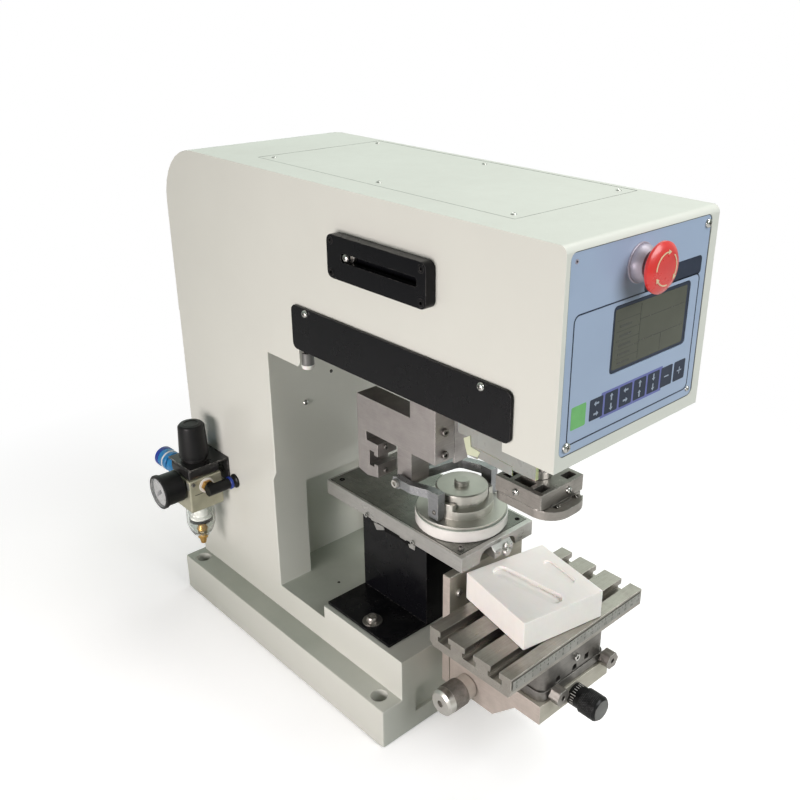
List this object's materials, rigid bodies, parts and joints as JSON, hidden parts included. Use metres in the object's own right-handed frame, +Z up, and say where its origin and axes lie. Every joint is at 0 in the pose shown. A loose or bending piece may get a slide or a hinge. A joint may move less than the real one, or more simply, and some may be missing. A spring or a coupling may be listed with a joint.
{
  "type": "pad printing machine",
  "caption": "Bench pad printing machine with a hollow head, sliding pad and ink cup carriage, cliche tray, slotted lift table, side air regulator and a front control panel.",
  "frame": {"origin": "on the underside of the base, centred across the machine, 90 mm behind the front face of the plinth", "axes": "+Z up, +Y from the control panel to the back of the machine, +X to the right as seen from the front"},
  "size_m": [0.2833, 0.572, 0.526],
  "materials": {
    "cream_paint": "smooth semi-gloss cream paint",
    "panel_blue": "satin printed foil",
    "screen_glass": "glossy window",
    "estop_collar": "bright ring",
    "estop_red": "semi-gloss red",
    "black_paint": "semi-gloss black coat",
    "black_plastic": "satin black",
    "bright_steel": "polished steel",
    "ground_steel": "ground grey steel",
    "machined_aluminium": "fine machined",
    "cheek_plastic": "pale satin",
    "cliche_steel": "dark polished plate",
    "ring_ceramic": "smooth white",
    "scale_strip": "satin strip",
    "white_acetal": "satin white",
    "regulator_alloy": "olive grey metallic coat",
    "clear_plastic": "clear",
    "pointer_white": "matte",
    "filter_white": "porous white",
    "brass": "bright brass",
    "coupler_blue": "blue coat",
    "sleeve_blue": "dark blue coat"
  },
  "bodies": {
    "machine": {"base_casting": "cream_paint", "head_casing": "cream_paint", "top_cover": "cream_paint", "control_panel": "panel_blue", "screen": "screen_glass", "estop_collar": "estop_collar", "guard_plate": "black_paint", "slot_plate": "black_paint", "rail_plate": "machined_aluminium", "guide_rail_left": "bright_steel", "guide_rail_right": "bright_steel", "pedestal": "black_paint", "pedestal_bolt_left": "bright_steel", "pedestal_bolt_right": "bright_steel", "cliche_tray": "machined_aluminium", "cliche_plate": "cliche_steel", "clamp_bar": "ground_steel", "lift_rail": "bright_steel", "regulator_body": "regulator_alloy", "bonnet": "black_plastic", "regulator_bracket": "black_paint", "gauge_case": "black_plastic", "gauge_lens": "clear_plastic", "filter_bowl": "clear_plastic", "filter_element": "filter_white", "coupler_body": "coupler_blue", "outlet_nipple": "brass", "outlet_elbow": "black_plastic"},
    "carriage": {"carriage_bridge": "machined_aluminium", "carriage_block": "machined_aluminium", "cylinder_cheek": "cheek_plastic", "pad_cylinder": "machined_aluminium"},
    "pad_head": {"pad_rod": "bright_steel", "pad_holder": "machined_aluminium", "pad_plate": "ground_steel"},
    "cup_fork": {"fork_arm_left": "machined_aluminium", "fork_arm_right": "ground_steel", "fork_shaft": "bright_steel", "ink_ring": "ring_ceramic", "cup_body": "machined_aluminium", "cup_cap": "bright_steel"},
    "lift": {"lift_plate": "machined_aluminium", "knee": "machined_aluminium"},
    "cross": {"cross_slide": "ground_steel", "saddle": "ground_steel"},
    "table": {"slotted_table": "ground_steel", "scale_strip": "scale_strip", "jig_block": "white_acetal"},
    "lift_knob": {"lift_knob": "bright_steel"},
    "cross_knob": {"cross_knob": "black_plastic"},
    "lock_knob_left": {"lock_knob_left": "bright_steel"},
    "lock_knob_right": {"lock_knob_right": "bright_steel"},
    "estop_plunger": {"estop_stem": "black_plastic"},
    "estop_button": {"estop_head": "estop_red"},
    "stop_pin": {"stop_pin": "bright_steel"},
    "clamp_screw": {"clamp_screw": "bright_steel"},
    "regulator_knob": {"regulator_knob": "black_plastic"},
    "gauge_pointer": {"gauge_pointer": "pointer_white"},
    "drain_cock": {"drain_cock": "brass"},
    "coupler_sleeve": {"coupler_sleeve": "sleeve_blue"}
  },
  "joints": [
    {"name": "carriage_slide", "type": "slide", "parent": "machine", "child": "carriage", "axis": [0, 1, 0], "range_m": [0, 0.08]},
    {"name": "pad_stroke", "type": "slide", "parent": "carriage", "child": "pad_head", "axis": [0, 0, -1], "range_m": [0, 0.05]},
    {"name": "fork_tilt", "type": "hinge", "parent": "carriage", "child": "cup_fork", "pos_m": [0, -0.033, 0.243], "axis": [-1, 0, 0], "range_deg": [0, 30]},
    {"name": "lift_slide", "type": "slide", "parent": "machine", "child": "lift", "axis": [0, 0, 1], "range_m": [-0.036, 0.002]},
    {"name": "cross_travel", "type": "slide", "parent": "lift", "child": "cross", "axis": [0, -1, 0], "range_m": [0, 0.02]},
    {"name": "table_travel", "type": "slide", "parent": "cross", "child": "table", "axis": [1, 0, 0], "range_m": [-0.03, 0.03]},
    {"name": "lift_knob_turn", "type": "hinge", "parent": "lift", "child": "lift_knob", "pos_m": [-0.0493, -0.1364, 0.0674], "axis": [-1, 0, 0], "range_deg": [-2600, 150]},
    {"name": "cross_knob_turn", "type": "hinge", "parent": "lift", "child": "cross_knob", "pos_m": [-0.001, -0.2248, 0.0858], "axis": [0, -1, 0], "range_deg": [0, 1441]},
    {"name": "lock_left_turn", "type": "hinge", "parent": "cross", "child": "lock_knob_left", "pos_m": [-0.031, -0.2228, 0.105], "axis": [0, -1, 0], "range_deg": [0, 90]},
    {"name": "lock_right_turn", "type": "hinge", "parent": "cross", "child": "lock_knob_right", "pos_m": [0.04, -0.2228, 0.105], "axis": [0, -1, 0], "range_deg": [0, 90]},
    {"name": "estop_push", "type": "slide", "parent": "machine", "child": "estop_plunger", "axis": [0, 1, 0], "range_m": [0, 0.004]},
    {"name": "estop_twist", "type": "hinge", "parent": "estop_plunger", "child": "estop_button", "pos_m": [-0.008, -0.2702, 0.4995], "axis": [0, 1, 0], "range_deg": [0, 45]},
    {"name": "stop_pin_slide", "type": "slide", "parent": "machine", "child": "stop_pin", "axis": [0, -1, 0], "range_m": [0, 0.083]},
    {"name": "clamp_screw_turn", "type": "hinge", "parent": "machine", "child": "clamp_screw", "pos_m": [0.003, -0.1288, 0.1915], "axis": [0, -1, 0], "range_deg": [-180, 180]},
    {"name": "regulator_knob_turn", "type": "hinge", "parent": "machine", "child": "regulator_knob", "pos_m": [-0.1205, 0.217, 0.2031], "axis": [0, 0, 1], "range_deg": [-540, 540]},
    {"name": "pointer_turn", "type": "hinge", "parent": "machine", "child": "gauge_pointer", "pos_m": [-0.1631, 0.217, 0.174], "axis": [1, 0, 0], "range_deg": [0, 270]},
    {"name": "drain_turn", "type": "hinge", "parent": "machine", "child": "drain_cock", "pos_m": [-0.1205, 0.217, 0.1044], "axis": [0, 0, 1], "range_deg": [0, 90]},
    {"name": "sleeve_slide", "type": "slide", "parent": "machine", "child": "coupler_sleeve", "axis": [0, -1, 0], "range_m": [0, 0.003]}
  ],
  "couplings": [
    {"joint": "lift_knob_turn", "follows": "lift_slide", "rad_per_m": 1256.6},
    {"joint": "cross_knob_turn", "follows": "cross_travel", "rad_per_m": 1256.6}
  ]
}
